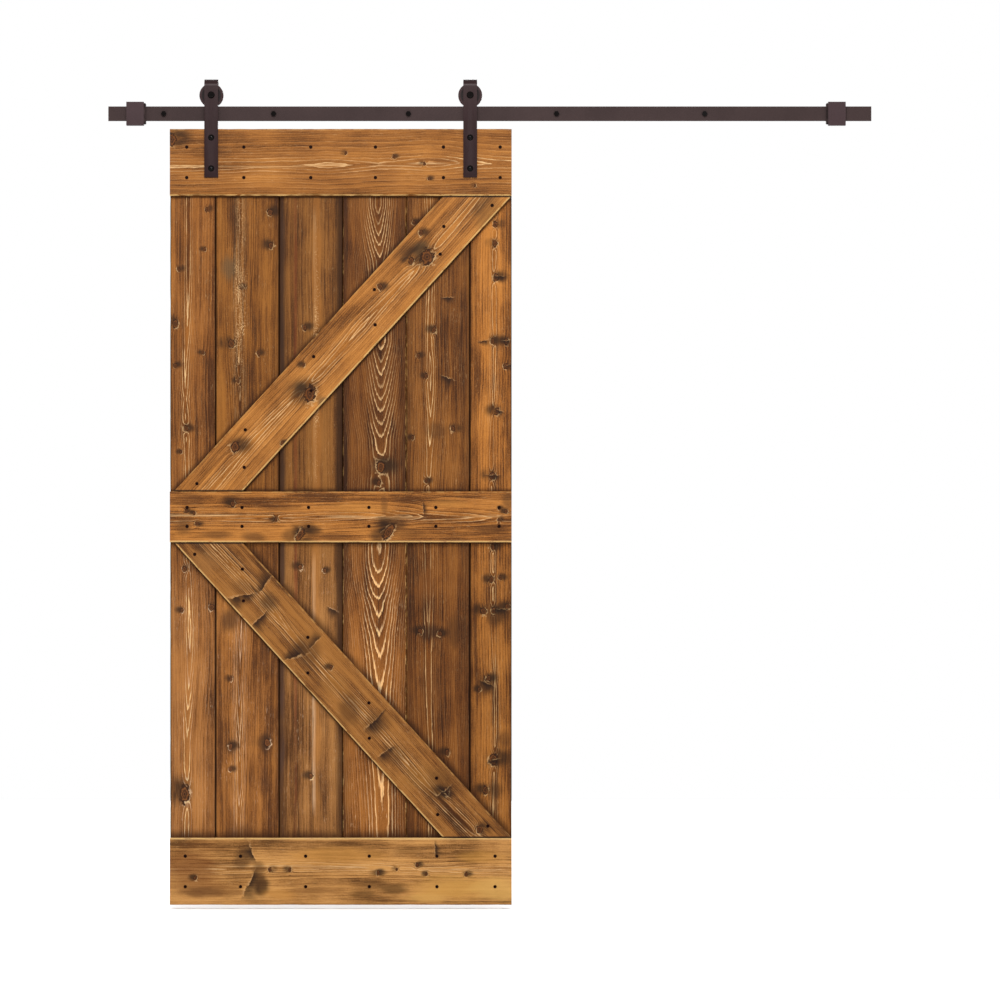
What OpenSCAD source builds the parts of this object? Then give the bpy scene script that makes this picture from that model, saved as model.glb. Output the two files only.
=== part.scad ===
// Sliding barn door: a boarded, Z-braced leaf hung by two strap hangers from
// a flat wall track. X runs along the track, the room is towards -Y and the
// wall plane is Y = 0. The origin is where the middle wall screw enters the
// wall, level with the track's centre line.

/* [Door leaf] */
// Width of the leaf
door_w = 940; // [780:10:1130]
// Height of the leaf
door_h = 2134; // [1780:2:2560]
// Distance from the track's left end to the leaf
door_from_left = 170; // [150:2:260]
// Gap between the track's lower edge and the leaf
door_drop = 22.6; // [18:0.2:28]
// Thickness of the upright boards
board_t = 19; // [16:1:22]
// Face width of the first board, ripped to fit
first_board_w = 125; // [100:5:150]
// Face width of the last board, ripped to fit
last_board_w = 115; // [96:1:150]
// Depth of the V joint on each board edge
board_v = 2.5; // [1:0.5:4]
// Length of each board's tongue
tongue_l = 8; // [5:1:10]
// Thickness of each board's tongue
tongue_t = 6; // [4:0.5:7]

/* [Rails and braces] */
// Thickness of the rails and braces
frame_t = 19; // [16:1:22]
// Height of the top and bottom rails
rail_w = 184; // [150:2:222]
// Height of the middle rail
mid_rail_w = 140; // [116:1:168]
// Width of the diagonal braces, square across the grain
brace_w = 139; // [116:1:168]
// Distance of each brace's outer tip from the left edge of the leaf
brace_inset = 11; // [2:1:20]
// Rounding of the front edges
edge_r = 2.5; // [1:0.5:5]

/* [Wood screws] */
// Diameter of a wood screw's head
screw_head_d = 8.4; // [7:0.2:10]
// Diameter of a wood screw's shank
screw_d = 4; // [3:0.5:5]
// Length of a wood screw
screw_l = 31; // [26:1:33]
// Depth of each head below the face
screw_sink = 0.4; // [0.1:0.1:1]
// Distance of screws from the long edges of the top and bottom rails
rail_screw_edge = 50; // [20:1:60]
// Distance of screws from the long edges of the middle rail
mid_screw_edge = 44; // [20:1:52]

/* [Track] */
// Length of the track bar
track_l = 2100; // [1750:10:2520]
// Height of the track bar
track_h = 40; // [34:1:48]
// Thickness of the track bar
track_t = 6; // [5:0.5:8]
// Distance from the bar's left end to the middle wall screw
track_left = 826; // [780:2:990]
// Distance of the bar's back face from the wall
standoff = 35; // [32:1:42]
// Outer diameter of the wall spacers
spacer_d = 24; // [20:1:28]
// Diameter of the wall screws
lag_d = 8; // [6:0.5:9]
// Width across flats of the wall screws' heads
lag_flats = 13; // [11:1:16]
// Length of the wall screws beyond the wall plane
lag_grip = 55; // [40:1:75]

/* [End stops] */
// Length of a stop block along the track
stop_l = 48; // [40:1:58]
// Height of a stop block
stop_h = 64.6; // [60:0.2:78]
// Depth of a stop block
stop_depth = 24; // [20:1:28]
// Distance of the left block from the bar's left end
stop_in_left = 50; // [20:1:56]
// Distance of the right block from the bar's right end
stop_in_right = 71; // [40:1:90]
// Thickness of the rubber bumpers
bumper_t = 5.5; // [4:0.5:8]
// Height of the rubber bumpers
bumper_h = 57; // [52:0.5:60]

/* [Hangers] */
// Distance of each hanger's centre from the edge of the leaf
hanger_inset = 114; // [95:1:137]
// Width of the hanger strap
strap_w = 38; // [32:1:46]
// Thickness of the hanger strap
strap_t = 5; // [4:0.5:6]
// Length of strap on the face of the leaf
strap_down = 134; // [116:1:160]
// Distance from the top of the leaf to the upper strap bolt
bolt_from_top = 24; // [18:1:30]
// Distance between the two strap bolts
bolt_pitch = 85; // [70:1:85]
// Diameter of the strap bolts
bolt_d = 8; // [6:1:10]
// Diameter of the strap bolts' domed heads
bolt_head_d = 17; // [14:0.5:20]

/* [Wheels] */
// Radius of the wheel where it runs on the track
tread_r = 30; // [26:0.5:36]
// Height of the wheel's flanges above its tread
flange_h = 3; // [2:0.5:4]
// Width of the wheel
wheel_w = 20; // [17:0.5:24]
// Diameter of the axle bolt
axle_d = 10; // [8:0.5:12]
// Diameter of the axle bolt's domed head
axle_head_d = 19.5; // [17:0.5:23]

/* [Hidden] */
sides = ["left", "right"];

// Clearances
screw_fit = 0.1;        // round a screw in its hole
bolt_fit = 0.3;         // round a bolt in its hole
axle_fit = 0.04;        // round the axle bolt in its bearing and strap
press_fit = 0.02;       // round the bearing in the wheel
track_fit = 0.2;        // round the bar in the stop blocks
run_gap = 0.3;          // between the tread and the track
ball_gap = 0.15;        // round the balls in their races
pocket_gap = 0.2;       // round the balls in their cage
groove_play = 1;        // beside the bar in the wheel's groove
leg_play = 4;           // beside the wheel in its strap
tongue_fit = 0.3;       // round each tongue in its groove
joint_gap = 0.5;        // between boards, and between rails and braces
cut = 1;                // how far cutting shapes run past a face

// Layers from the room towards the wall
track_y = -standoff - track_t / 2;
track_front = track_y - track_t / 2;
bend_in = wheel_w / 2 + leg_play;
bend_out = bend_in + strap_t;
strap_front = track_y - bend_out;
strap_back = track_y + bend_out;
face_y = track_y - bend_in;
board_y = face_y + frame_t;
back_y = board_y + board_t;

// Outline of the leaf
door_x = door_from_left - track_left;
door_top = -track_h / 2 - door_drop;
door_bottom = door_top - door_h;
panel_h = (door_h - 2 * rail_w - mid_rail_w) / 2;
mid_rail_z = door_bottom + rail_w + panel_h;
mid_rail_top = mid_rail_z + mid_rail_w;

// Board edges and centres, measured from the left edge of the leaf
full_board_w = (door_w - first_board_w - last_board_w) / 4;
board_xs = [0, for (i = [0:4]) first_board_w + i * full_board_w, door_w];
board_mids = [for (i = [0:5]) (board_xs[i] + board_xs[i + 1]) / 2];

// A brace's horizontal cut, and the slope that it leaves the brace
brace_run = door_w - brace_inset;
brace_sq = pow(brace_w, 2);
panel_sq = pow(panel_h, 2);
brace_flat = (sqrt(pow(brace_run * brace_sq, 2)
                   + (panel_sq - brace_sq) * brace_sq * (panel_sq + pow(brace_run, 2)))
              - brace_run * brace_sq) / (panel_sq - brace_sq);
brace_angle = atan2(panel_h, brace_run - brace_flat);

// Wood screws stand a little off each board's centre, as hand-driven ones do
top_shifts = [-16, -9, 0, 3, 15, 26];
mid_shifts = [-15, -14, -6, -15, -6, 23];
low_shifts = [-20, -18, -14, -14, -3, 12];
// Brace screws: board, shift along X, height above the brace's centre line
upper_spots = [[0, 12, 55], [1, -8, -43], [1, -5, 57], [2, 1, -34], [2, 8, 52],
               [3, 2, -46], [3, 0, 53], [4, 6, -48], [4, 16, 17], [5, 4, -71]];
lower_spots = [[0, 6, -73], [1, -13, 30], [1, -10, -54], [2, -8, 40],
               [2, -8, -58], [3, -15, 44], [3, -14, -52], [4, -4, 41],
               [4, -1, -56], [5, -8, 64]];
screw_tip = 5;          // length of the point
screw_point_r = 0.4;
screw_cross_l = 5;      // arms, width and depth of the driver's cross
screw_cross_w = 1.2;
screw_cross_depth = 1.6;

// Wall screws: the outer ones keep their distance from the bar's ends
lag_in_left = 153;
lag_in_right = 459;
lag_pitch_left = 302;
lag_last = track_l - track_left - lag_in_right;
lag_xs = [lag_in_left - track_left, lag_in_left - track_left + lag_pitch_left,
          0, lag_last / 2, lag_last];
lag_head_t = 5.3;
lag_tip = 8;
lag_thread_cut = 0.2;   // thread radius below the plain shank's
washer_t = 1.6;
washer_rim = 2;         // washer beyond the flats of what it carries

// Strap hangers
flange_r = tread_r + flange_h;
axle_z = track_h / 2 + run_gap + tread_r;
bend_nest = 8;          // how far the wheel's rim reaches into the bend
bend_z = axle_z + flange_r - bend_nest;
hanger_xs = [door_x + hanger_inset, door_x + door_w - hanger_inset];
bolt_zs = [door_top - bolt_from_top, door_top - bolt_from_top - bolt_pitch];
bolt_head_t = 5.5;
nut_flats_ratio = 1.65; // to the bolt's diameter
nut_t_ratio = 0.8;
nut_flats = bolt_d * nut_flats_ratio;
nut_t = bolt_d * nut_t_ratio;
bolt_end = 1.5;         // thread that shows past a nut
axle_dome_t = 7;
axle_head_t = 5.8;      // the dome's height where its top is flattened
axle_nut_flats = axle_d * nut_flats_ratio;
axle_nut_t = 6;

// Wheel and ball bearing
bearing_r = 13;
bearing_w = 8;
ball_r = 2.4;
ball_count = 7;
ball_ring_r = (bearing_r + axle_d / 2) / 2;
ring_reach = 1.3;       // from the balls' circle to either ring
cage_t = 1.4;
cage_w = 6.6;
axle_spacer_r = axle_d / 2 + 2;
rim_t = 6;              // thickness of the rim below the flanges
dish = 2.5;             // depth of the hollow in the wheel's faces
lip = 1.5;              // shoulder that the bearing seats on
flange_round = 2;
flange_flare = 0.4;     // slope of the groove's walls

// End stops
stop_left_x = stop_in_left - track_left;
stop_right_x = track_l - track_left - stop_in_right;
grub_d = 6;
grub_pitch = 24;
grub_recess = 1.3;
bumper_round = 2.5;     // at most half the bumper's thickness

board_colour = "#85522e";
frame_colour = "#a46e3e";
steel_colour = "#4c3f3f";
black_colour = "#1d1718";
rubber_colour = "#282223";
zinc_colour = "#8d8f92";

// ---- Shared shapes ----

// Cylinder along +Y from y
module rod_y(r, y, len, fn = 48) {
  translate([0, y, 0]) rotate([-90, 0, 0]) cylinder(r = r, h = len, $fn = fn);
}

// Cone along +Y from y
module cone_y(r1, r2, y, len) {
  translate([0, y, 0]) rotate([-90, 0, 0]) cylinder(r1 = r1, r2 = r2, h = len, $fn = 48);
}

// Ring along +Y from y
module ring_y(r_out, r_in, y, len) {
  difference() {
    rod_y(r_out, y, len);
    rod_y(r_in, y - cut, len + 2 * cut);
  }
}

// Hexagonal nut along +Y from y
module nut_y(flats, bore_r, y, len) {
  difference() {
    rod_y(flats / 2 / cos(30), y, len, 6);
    rod_y(bore_r, y - cut, len + 2 * cut);
  }
}

// Domed head that bulges towards -Y from the plane y, flattened at height t
module dome_y(d, dome_t, t, y) {
  ball = (d * d / 4 + dome_t * dome_t) / (2 * dome_t);
  intersection() {
    rod_y(d / 2, y - t, t);
    translate([0, y - dome_t + ball, 0]) sphere(r = ball, $fn = 64);
  }
}

// Board along +X with its back on y = 0 and its front edges rounded
module eased_board(len, w, t) {
  rotate([90, 0, 90]) linear_extrude(len) {
    translate([edge_r - t, 0]) square([t - edge_r, w]);
    translate([-t, edge_r]) square([t, w - 2 * edge_r]);
    for (y = [edge_r, w - edge_r]) translate([edge_r - t, y]) circle(r = edge_r, $fn = 24);
  }
}

// Repeats its child at a list of [x, z] places
module at_points(points) {
  for (p = points) translate([p[0], 0, p[1]]) children();
}

// ---- Wood screws ----

function rail_points(z, w, edge, shifts) =
  [for (i = [0:5], dz = [edge, w - edge]) [door_x + board_mids[i] + shifts[i], z + dz]];

// Height of a rising brace's centre line above the foot of its panel
function brace_line(x) = (x - brace_inset - brace_flat / 2) * tan(brace_angle);

// Places of brace screws above foot_z; a rise of -1 is for a brace that falls to the right
function brace_points(spots, foot_z, rise) =
  [for (s = spots) let (x = board_mids[s[0]] + s[1])
    [door_x + x, foot_z + rise * brace_line(x) + s[2]]];

top_points = rail_points(door_top - rail_w, rail_w, rail_screw_edge, top_shifts);
mid_points = rail_points(mid_rail_z, mid_rail_w, mid_screw_edge, mid_shifts);
low_points = rail_points(door_bottom, rail_w, rail_screw_edge, low_shifts);
upper_points = brace_points(upper_spots, mid_rail_top, 1);
lower_points = brace_points(lower_spots, mid_rail_z, -1);
screw_points = concat(top_points, mid_points, low_points, upper_points, lower_points);

// Countersunk screw, or the hole for it when grow is above zero
module wood_screw(grow = 0) {
  head_y = face_y + screw_sink;
  head_r = screw_head_d / 2 + grow;
  shank_r = screw_d / 2 + grow;
  shank_l = screw_l - screw_tip + grow;
  if (grow > 0) rod_y(head_r, face_y - cut, screw_sink + cut);
  cone_y(head_r, shank_r, head_y, (screw_head_d - screw_d) / 2);
  rod_y(shank_r, head_y, shank_l);
  cone_y(shank_r, screw_point_r + grow, head_y + shank_l, screw_tip);
}

module wood_screws(points) {
  color(black_colour) at_points(points) difference() {
    wood_screw();
    for (a = [0, 90]) rotate([0, a, 0])
      translate([-screw_cross_l / 2, face_y + screw_sink - cut, -screw_cross_w / 2])
        cube([screw_cross_l, screw_cross_depth + cut, screw_cross_w]);
  }
}

// ---- Door leaf ----

module bolt_holes() {
  for (x = hanger_xs, z = bolt_zs) translate([x, 0, z])
    rod_y(bolt_d / 2 + bolt_fit, strap_front - cut, back_y - strap_front + 2 * cut);
}

// Section of one board in X and Y, with its tongue, groove and V edges
module board_section(i) {
  x0 = door_x + board_xs[i] + (i > 0 ? joint_gap / 2 : 0);
  x1 = door_x + board_xs[i + 1] - (i < 5 ? joint_gap / 2 : 0);
  mid = (board_y + back_y) / 2;
  groove_t = tongue_t + 2 * tongue_fit;
  groove_l = tongue_l - joint_gap + tongue_fit;
  difference() {
    union() {
      translate([x0, board_y]) square([x1 - x0, board_t]);
      if (i < 5) translate([x1 - cut, mid - tongue_t / 2]) square([tongue_l + cut, tongue_t]);
    }
    if (i > 0) translate([x0 - cut, mid - groove_t / 2]) square([groove_l + cut, groove_t]);
    for (x = [x0, x1]) translate([x, board_y]) rotate(45)
      square(board_v * sqrt(2), center = true);
  }
}

module board(i) {
  x0 = door_x + board_xs[i] - screw_head_d;
  x1 = door_x + board_xs[i + 1] + tongue_l + screw_head_d;
  color(board_colour) difference() {
    translate([0, 0, door_bottom]) linear_extrude(door_h) board_section(i);
    at_points([for (p = screw_points) if (p[0] > x0 && p[0] < x1) p]) wood_screw(screw_fit);
    if (min([for (x = hanger_xs) abs(x - (x0 + x1) / 2)]) < (x1 - x0) / 2) bolt_holes();
  }
}

module rail(z, w, points) {
  color(frame_colour) difference() {
    translate([door_x, board_y, z]) eased_board(door_w, w, frame_t);
    at_points(points) wood_screw(screw_fit);
    if (z + w > bolt_zs[1]) bolt_holes();
  }
}

// Brace that rises to the right from the foot of a panel at z = 0
module rising_brace() {
  intersection() {
    translate([brace_inset, 0, 0]) rotate([0, -brace_angle, 0])
      translate([-brace_w, 0, -brace_w])
        eased_board(brace_run / cos(brace_angle) + 2 * brace_w, brace_w, frame_t);
    translate([0, -frame_t - cut, joint_gap / 2])
      cube([door_w, frame_t + 2 * cut, panel_h - joint_gap]);
  }
}

module upper_brace() {
  color(frame_colour) difference() {
    translate([door_x, board_y, mid_rail_top]) rising_brace();
    at_points(upper_points) wood_screw(screw_fit);
  }
}

module lower_brace() {
  color(frame_colour) difference() {
    translate([door_x, board_y, mid_rail_z]) mirror([0, 0, 1]) rising_brace();
    at_points(lower_points) wood_screw(screw_fit);
  }
}

// ---- Track ----

module track_bar() {
  color(steel_colour) difference() {
    translate([-track_left, track_front, -track_h / 2]) cube([track_l, track_t, track_h]);
    for (x = lag_xs) translate([x, 0, 0])
      rod_y(lag_d / 2 + bolt_fit, track_front - cut, track_t + 2 * cut);
  }
}

module wall_spacer(i) {
  color(steel_colour) translate([lag_xs[i], 0, 0])
    ring_y(spacer_d / 2, lag_d / 2 + bolt_fit, -standoff, standoff);
}

module wall_screw_washers() {
  color(steel_colour) for (x = lag_xs) translate([x, 0, 0])
    ring_y(lag_flats / 2 + washer_rim, lag_d / 2 + bolt_fit, track_front - washer_t, washer_t);
}

module wall_screw(i) {
  seat = track_front - washer_t;
  thread_r = lag_d / 2 - lag_thread_cut;
  color(black_colour) translate([lag_xs[i], 0, 0]) {
    rod_y(lag_flats / 2 / cos(30), seat - lag_head_t, lag_head_t, 6);
    rod_y(lag_d / 2, seat - cut, cut - seat);
    rod_y(thread_r, -cut, lag_grip - lag_tip + cut);
    cone_y(thread_r, screw_point_r, lag_grip - lag_tip, lag_tip);
  }
}

// ---- End stops ----

module bar_slot(x, len) {
  translate([x - cut, track_front - track_fit, -track_h / 2 - track_fit])
    cube([len + 2 * cut, track_t + 2 * track_fit, track_h + 2 * track_fit]);
}

function grub_xs(x) = [for (s = [-1, 1]) x + stop_l / 2 + s * grub_pitch / 2];

module stop_block(x) {
  color(steel_colour) difference() {
    translate([x, track_y - stop_depth / 2, -stop_h / 2]) cube([stop_l, stop_depth, stop_h]);
    bar_slot(x, stop_l);
    for (gx = grub_xs(x)) translate([gx, track_y, -stop_h / 2 - cut])
      cylinder(r = grub_d / 2 + screw_fit, h = (stop_h - track_h) / 2 + cut, $fn = 32);
  }
}

// Pad on the side of a block that faces the door; its outer corners are round
module stop_bumper(x) {
  r = min(bumper_round, bumper_t / 2);
  color(rubber_colour) difference() {
    translate([0, track_y + stop_depth / 2, 0]) rotate([90, 0, 0]) linear_extrude(stop_depth) {
      translate([x, -bumper_h / 2]) square([bumper_t - r, bumper_h]);
      translate([x, r - bumper_h / 2]) square([bumper_t, bumper_h - 2 * r]);
      for (s = [-1, 1]) translate([x + bumper_t - r, s * (bumper_h / 2 - r)])
        circle(r = r, $fn = 24);
    }
    bar_slot(x, bumper_t);
  }
}

module stop_set_screws() {
  grub_l = (stop_h - track_h) / 2 - grub_recess;
  color(black_colour) for (x = [stop_left_x, stop_right_x - stop_l], gx = grub_xs(x))
    translate([gx, track_y, -track_h / 2 - grub_l]) difference() {
      cylinder(r = grub_d / 2, h = grub_l, $fn = 32);
      translate([0, 0, -cut]) cylinder(r = grub_d / 4, h = grub_l / 3 + cut, $fn = 6);
    }
}

// ---- Hangers ----

module hanger_strap(x) {
  strap_foot = door_top - strap_down;
  color(steel_colour) translate([x, 0, 0]) difference() {
    union() {
      translate([-strap_w / 2, strap_front, strap_foot])
        cube([strap_w, strap_t, bend_z - strap_foot]);
      translate([-strap_w / 2, track_y, bend_z]) rotate([90, 0, 90]) linear_extrude(strap_w)
        difference() {
          circle(r = bend_out, $fn = 64);
          circle(r = bend_in, $fn = 64);
          translate([-bend_out - cut, -bend_out - cut])
            square([2 * (bend_out + cut), bend_out + cut]);
        }
      translate([-strap_w / 2, track_y + bend_in, axle_z])
        cube([strap_w, strap_t, bend_z - axle_z]);
      translate([0, 0, axle_z]) rod_y(strap_w / 2, track_y + bend_in, strap_t, 64);
    }
    translate([0, 0, axle_z]) rod_y(axle_d / 2 + axle_fit, strap_front - cut, 2 * (bend_out + cut));
    for (z = bolt_zs) translate([0, 0, z])
      rod_y(bolt_d / 2 + bolt_fit, strap_front - cut, strap_t + 2 * cut);
  }
}

module strap_bolts(x) {
  shank_l = back_y + washer_t + nut_t + bolt_end - strap_front;
  color(black_colour) for (z = bolt_zs) translate([x, 0, z]) {
    dome_y(bolt_head_d, bolt_head_t, bolt_head_t, strap_front);
    rod_y(bolt_d / 2, strap_front - cut, shank_l + cut);
  }
}

module strap_washers() {
  color(black_colour) for (x = hanger_xs, z = bolt_zs) translate([x, 0, z])
    ring_y(nut_flats / 2 + 2 * washer_rim, bolt_d / 2 + bolt_fit, back_y, washer_t);
}

module strap_nuts() {
  color(black_colour) for (x = hanger_xs, z = bolt_zs) translate([x, 0, z])
    nut_y(nut_flats, bolt_d / 2 + screw_fit, back_y + washer_t, nut_t);
}

module axle_bolt(x) {
  shank_l = 2 * bend_out + axle_nut_t + bolt_end;
  color(black_colour) translate([x, 0, axle_z]) {
    dome_y(axle_head_d, axle_dome_t, axle_head_t, strap_front);
    rod_y(axle_d / 2, strap_front - cut, shank_l + cut);
  }
}

module axle_nut(x) {
  color(black_colour) translate([x, 0, axle_z])
    nut_y(axle_nut_flats, axle_d / 2 + screw_fit, strap_back, axle_nut_t);
}

// Two sleeves that hold the bearing midway between the strap's legs
module axle_spacers(x) {
  sleeve_l = bend_in - bearing_w / 2;
  color(steel_colour) translate([x, 0, axle_z])
    for (y = [track_y - bend_in, track_y + bearing_w / 2])
      ring_y(axle_spacer_r, axle_d / 2 + screw_fit, y, sleeve_l);
}

// ---- Wheels ----

// Solid turned about the wheel's axle; its section has x outwards, y along +Y
module turned(x) {
  translate([x, track_y, axle_z]) rotate([-90, 0, 0]) rotate_extrude($fn = 96) children();
}

module ball_groove() {
  translate([ball_ring_r, 0]) circle(r = ball_r + ball_gap, $fn = 32);
}

module wheel(x) {
  half_w = wheel_w / 2;
  hub_w = wheel_w - 2 * dish;
  rim_r = tread_r - rim_t;
  groove_w = track_t / 2 + groove_play;
  color(steel_colour) turned(x) difference() {
    union() {
      translate([bearing_r + press_fit, -hub_w / 2])
        square([rim_r + cut - bearing_r - press_fit, hub_w]);
      translate([bearing_r - lip, bearing_w / 2]) square([lip + cut, (hub_w - bearing_w) / 2]);
      translate([rim_r, -half_w]) square([flange_r - flange_round - rim_r, wheel_w]);
      translate([rim_r, flange_round - half_w])
        square([flange_r - rim_r, wheel_w - 2 * flange_round]);
      for (s = [-1, 1]) translate([flange_r - flange_round, s * (half_w - flange_round)])
        circle(r = flange_round, $fn = 24);
    }
    polygon([
      [tread_r, -groove_w],
      [flange_r + cut, -groove_w - flange_flare * (flange_h + cut)],
      [flange_r + cut, groove_w + flange_flare * (flange_h + cut)],
      [tread_r, groove_w]
    ]);
  }
}

module bearing_outer(x) {
  r = ball_ring_r + ring_reach;
  color(zinc_colour) turned(x) difference() {
    translate([r, -bearing_w / 2]) square([bearing_r - r, bearing_w]);
    ball_groove();
  }
}

module bearing_inner(x) {
  r = axle_d / 2 + axle_fit;
  color(zinc_colour) turned(x) difference() {
    translate([r, -bearing_w / 2]) square([ball_ring_r - ring_reach - r, bearing_w]);
    ball_groove();
  }
}

// Places children on the bearing's circle of balls
module at_balls(x) {
  translate([x, track_y, axle_z]) for (i = [0:ball_count - 1])
    rotate([0, i * 360 / ball_count, 0]) translate([ball_ring_r, 0, 0]) children();
}

module bearing_cage(x) {
  color(zinc_colour) difference() {
    turned(x) translate([ball_ring_r - cage_t / 2, -cage_w / 2]) square([cage_t, cage_w]);
    at_balls(x) rotate([0, 90, 0])
      cylinder(r = ball_r + pocket_gap, h = 2 * cage_t, center = true, $fn = 32);
  }
}

module bearing_balls(x) {
  color(zinc_colour) at_balls(x) sphere(r = ball_r, $fn = 32);
}

// ---- Nodes ----

track_bar();
for (i = [1:5]) {
  wall_spacer(i - 1);
  wall_screw(i - 1);
}
wall_screw_washers();
stop_set_screws();
stop_block(stop_left_x);  // stop_block_left
stop_block(stop_right_x - stop_l);  // stop_block_right
stop_bumper(stop_left_x + stop_l);  // stop_bumper_left
translate([stop_right_x - stop_l, 0, 0]) mirror([1, 0, 0]) stop_bumper(0);  // stop_bumper_right

for (i = [1:6]) board(i - 1);
rail(door_top - rail_w, rail_w, top_points);  // top_rail
rail(mid_rail_z, mid_rail_w, mid_points);  // middle_rail
rail(door_bottom, rail_w, low_points);  // bottom_rail
upper_brace();
lower_brace();
wood_screws(top_points);  // top_rail_screws
wood_screws(mid_points);  // middle_rail_screws
wood_screws(low_points);  // bottom_rail_screws
wood_screws(upper_points);  // upper_brace_screws
wood_screws(lower_points);  // lower_brace_screws
strap_washers();
strap_nuts();

for (i = [0:1]) {
  x = hanger_xs[i];
  hanger_strap(x);
  strap_bolts(x);
  axle_bolt(x);
  axle_nut(x);
  axle_spacers(x);
  bearing_inner(x);
  bearing_outer(x);
  bearing_cage(x);
  bearing_balls(x);
  wheel(x);
}
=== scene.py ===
import math
import bmesh
import bpy
import numpy as np
from mathutils import Matrix, Vector


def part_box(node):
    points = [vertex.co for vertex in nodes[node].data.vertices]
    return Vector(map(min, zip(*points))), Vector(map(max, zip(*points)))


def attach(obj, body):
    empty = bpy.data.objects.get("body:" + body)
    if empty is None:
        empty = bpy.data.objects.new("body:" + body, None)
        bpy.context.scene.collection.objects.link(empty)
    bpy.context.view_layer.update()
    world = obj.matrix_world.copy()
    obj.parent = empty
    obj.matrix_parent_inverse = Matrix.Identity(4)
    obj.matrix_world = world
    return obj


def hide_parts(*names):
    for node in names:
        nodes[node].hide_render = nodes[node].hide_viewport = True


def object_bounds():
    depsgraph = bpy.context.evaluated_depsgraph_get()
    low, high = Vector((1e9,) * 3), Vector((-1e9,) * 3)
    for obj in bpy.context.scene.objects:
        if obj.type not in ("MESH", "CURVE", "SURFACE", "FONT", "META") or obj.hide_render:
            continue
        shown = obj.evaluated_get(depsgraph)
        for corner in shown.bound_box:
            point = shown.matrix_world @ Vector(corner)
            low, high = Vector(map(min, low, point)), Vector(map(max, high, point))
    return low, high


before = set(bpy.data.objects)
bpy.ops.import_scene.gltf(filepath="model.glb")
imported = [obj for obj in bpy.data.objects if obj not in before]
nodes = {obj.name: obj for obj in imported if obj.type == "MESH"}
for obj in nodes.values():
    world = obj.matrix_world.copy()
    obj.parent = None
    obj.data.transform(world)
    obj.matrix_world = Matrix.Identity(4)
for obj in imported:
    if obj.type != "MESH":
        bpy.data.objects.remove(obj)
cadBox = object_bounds()
boxLow, boxHigh = cadBox
samePlace, weldGap = 1e-5, 1e-6
print("frame loaded:", len(nodes), "nodes")

canvas = {}  # the node tree that is being built, with its material and its colour so far


def newObject(name, data):
    made = bpy.data.objects.new(name, data)
    bpy.context.scene.collection.objects.link(made)
    return made


def newMaterial(name):
    material = bpy.data.materials.new(name)
    material.use_nodes = True
    material.node_tree.nodes.clear()
    canvas.update(material=material, tree=material.node_tree)


def add(kind, links=None, **settings):
    made = canvas["tree"].nodes.new(kind)
    for key, value in settings.items():
        setattr(made, key, value)
    for key, value in (links or {}).items():
        socket = made.inputs[key]
        if isinstance(value, bpy.types.NodeSocket):
            canvas["tree"].links.new(value, socket)
        elif socket.type == "RGBA":
            socket.default_value = (*value, 1)
        else:
            socket.default_value = value
    return made.outputs


def calc(operation, a, b=0.0, c=0.0):
    return add("ShaderNodeMath", {0: a, 1: b, 2: c}, operation=operation)[0]


def times(value, *others):
    for other in others:
        value = calc("MULTIPLY", value, other)
    return value


def timesPlus(value, factor, rest):
    return calc("MULTIPLY_ADD", value, factor, rest)


def nearer(old, new):
    return new if old is None else calc("MINIMUM", old, new)


def vectorCalc(operation, a, b=(0, 0, 0), c=(0, 0, 0)):
    return add("ShaderNodeVectorMath", {0: a, 1: b, 2: c}, operation=operation)["Vector"]


def lengthOf(a):
    return add("ShaderNodeVectorMath", {0: a}, operation="LENGTH")["Value"]


def spread(point, scale):
    return vectorCalc("MULTIPLY", point, scale)


def split(point):
    return tuple(add("ShaderNodeSeparateXYZ", {0: point}))


def objectPoint():
    return add("ShaderNodeTexCoord")["Object"]


def stored(name):
    return add("ShaderNodeAttribute", attribute_name=name)["Vector"]


def noise(point, scale, detail=2, roughness=0.55, output="Fac"):
    return add("ShaderNodeTexNoise", {
        "Vector": spread(point, scale), "Scale": 1.0, "Detail": float(detail),
        "Roughness": roughness})[output]


def ramp(value, low, high, outLow=0.0, outHigh=1.0):
    return add("ShaderNodeMapRange", {
        "Value": value, "From Min": low, "From Max": high, "To Min": outLow, "To Max": outHigh},
        interpolation_type="SMOOTHSTEP")["Result"]


def blend(amount, first, second, kind="MIX"):
    links = {"Factor": amount, 6: first, 7: second}
    return add("ShaderNodeMix", links, data_type="RGBA", blend_type=kind)[2]


def over(amount, shade, kind="MIX"):
    canvas["colour"] = blend(amount, canvas["colour"], shade, kind)


def tint(colour, factors):
    factors = factors if isinstance(factors, tuple) else (factors,) * 3
    return tuple(v * k for v, k in zip(colour, factors))


def stain(shade, gain=1.0):
    # a colour as named on screen, from 0 to 255, turned into light
    def straight(v):
        v = v / 255
        return v / 12.92 if v <= 0.04045 else ((v + 0.055) / 1.055) ** 2.4
    return tint([straight(v) for v in shade], gain)


def finish(roughness, metallic=0.0, height=None, depth=0.0, gloss=0.5, strength=1.0):
    links = {"Base Color": canvas["colour"], "Roughness": roughness, "Metallic": metallic,
             "Specular IOR Level": gloss}
    if height is not None:
        bump = {"Height": height, "Distance": depth, "Strength": strength}
        links["Normal"] = add("ShaderNodeBump", bump)[0]
    add("ShaderNodeOutputMaterial", {"Surface": add("ShaderNodeBsdfPrincipled", links)[0]})
    return canvas["material"]


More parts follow.
